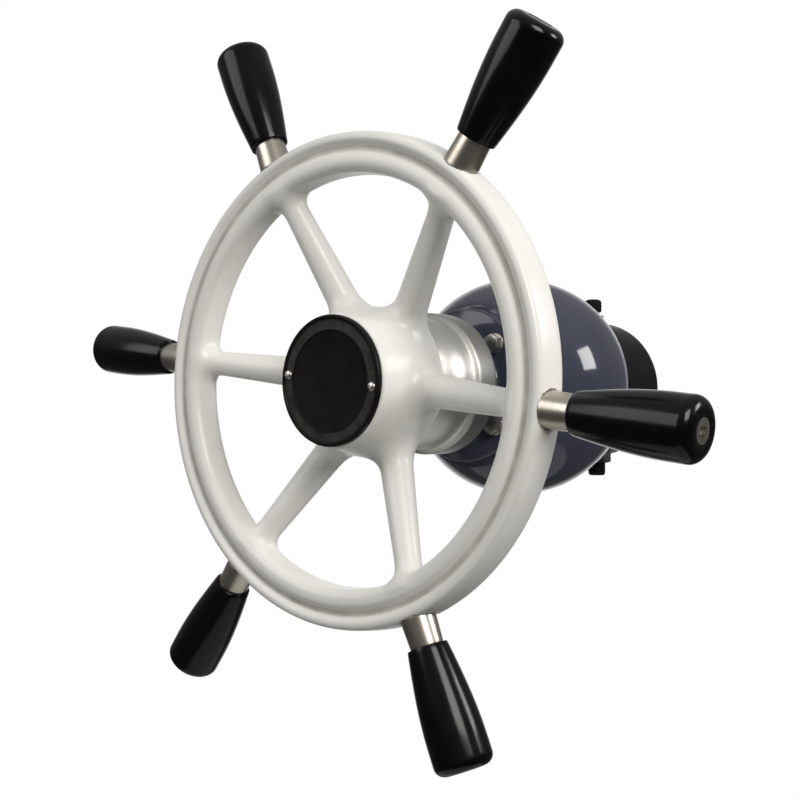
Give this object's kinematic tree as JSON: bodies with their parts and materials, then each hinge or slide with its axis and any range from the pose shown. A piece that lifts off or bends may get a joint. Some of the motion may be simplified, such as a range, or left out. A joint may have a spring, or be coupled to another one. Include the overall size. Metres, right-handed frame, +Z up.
{
  "type": "boat steering helm",
  "caption": "Boat steering helm: spoked white wheel with black turned grips on a shaft driving a hand hydraulic pump in a round casing that bolts to a bulkhead",
  "frame": {"origin": "centre of the rear face of the rear block, on the shaft axis", "axes": "the shaft lies along Y with the wheel at -Y and the bulkhead at +Y; +Z is up; +X is to the right for a person facing the wheel"},
  "size_m": [0.559, 0.3825, 0.5262],
  "materials": {
    "white_paint": "gloss white paint on cast aluminium",
    "black_plate": "satin black paint on pressed metal",
    "black_grip": "polished moulded thermoset",
    "stainless": "turned stainless steel",
    "steel": "ground steel",
    "bare_aluminium": "turned aluminium",
    "casing_paint": "gloss blue-grey paint on cast metal",
    "cast_iron": "machined cast iron",
    "bronze": "machined bronze",
    "black_paint": "satin black paint on machined metal",
    "rubber": "moulded rubber"
  },
  "bodies": {
    "helm": {"bearing_cap": "bare_aluminium", "shaft_seal": "rubber", "front_housing": "casing_paint", "bearing_circlip": "steel", "bearing_outer_ring": "steel", "front_gasket": "rubber", "tie_bolts": "stainless", "tie_washers": "stainless", "casing": "casing_paint", "casing_seal_ring": "rubber", "thrust_plate": "steel", "pump_ring": "cast_iron", "port_plate": "steel", "stack_screws": "stainless", "rear_block": "black_paint", "rear_bush": "bronze", "valve_seats": "bronze", "valve_plugs": "steel", "spring_left": "steel", "spring_right": "steel", "filler_plug": "black_paint", "filler_seal": "rubber", "union_left": "black_paint", "union_right": "black_paint", "union_seals": "rubber"},
    "wheel": {"wheel_casting": "white_paint", "name_plate": "black_plate", "plate_screws": "stainless", "hub_nut": "stainless", "hub_washer": "stainless", "hub_key": "steel", "ferrule_1": "stainless", "ferrule_2": "stainless", "ferrule_3": "stainless", "ferrule_4": "stainless", "ferrule_5": "stainless", "ferrule_6": "stainless", "grip_1": "black_grip", "grip_2": "black_grip", "grip_3": "black_grip", "grip_4": "black_grip", "grip_5": "black_grip", "grip_6": "black_grip", "handle_bolts": "stainless", "shaft": "steel", "spacer_sleeve": "steel", "bearing_inner_ring": "steel", "inner_rotor": "steel", "rotor_key": "steel"},
    "ball_cage": {"bearing_balls": "steel", "bearing_cage": "bronze"},
    "outer_rotor_body": {"outer_rotor": "bronze"},
    "spool": {"valve_spool": "steel"},
    "left_poppet": {"poppet_left": "steel"},
    "right_poppet": {"poppet_right": "steel"}
  },
  "joints": [
    {"name": "wheel_spin", "type": "hinge", "parent": "helm", "child": "wheel", "pos_m": [0, -0.362, 0], "axis": [0, 1, 0], "continuous": true},
    {"name": "cage_spin", "type": "hinge", "parent": "helm", "child": "ball_cage", "pos_m": [0, -0.2765, 0], "axis": [0, 1, 0], "continuous": true},
    {"name": "outer_rotor_spin", "type": "hinge", "parent": "helm", "child": "outer_rotor_body", "pos_m": [-0.002, -0.09205, 0], "axis": [0, 1, 0], "continuous": true},
    {"name": "spool_slide", "type": "slide", "parent": "helm", "child": "spool", "axis": [1, 0, 0], "range_m": [-0.0012, 0.0012]},
    {"name": "poppet_left_slide", "type": "slide", "parent": "helm", "child": "left_poppet", "axis": [-1, 0, 0], "range_m": [0, 0.002], "stiffness_N_per_m": 500, "springref_m": -0.004},
    {"name": "poppet_right_slide", "type": "slide", "parent": "helm", "child": "right_poppet", "axis": [1, 0, 0], "range_m": [0, 0.002], "stiffness_N_per_m": 500, "springref_m": -0.004}
  ],
  "couplings": [
    {"joint": "cage_spin", "follows": "wheel_spin", "ratio": 0.3974},
    {"joint": "outer_rotor_spin", "follows": "wheel_spin", "ratio": 0.85714}
  ]
}
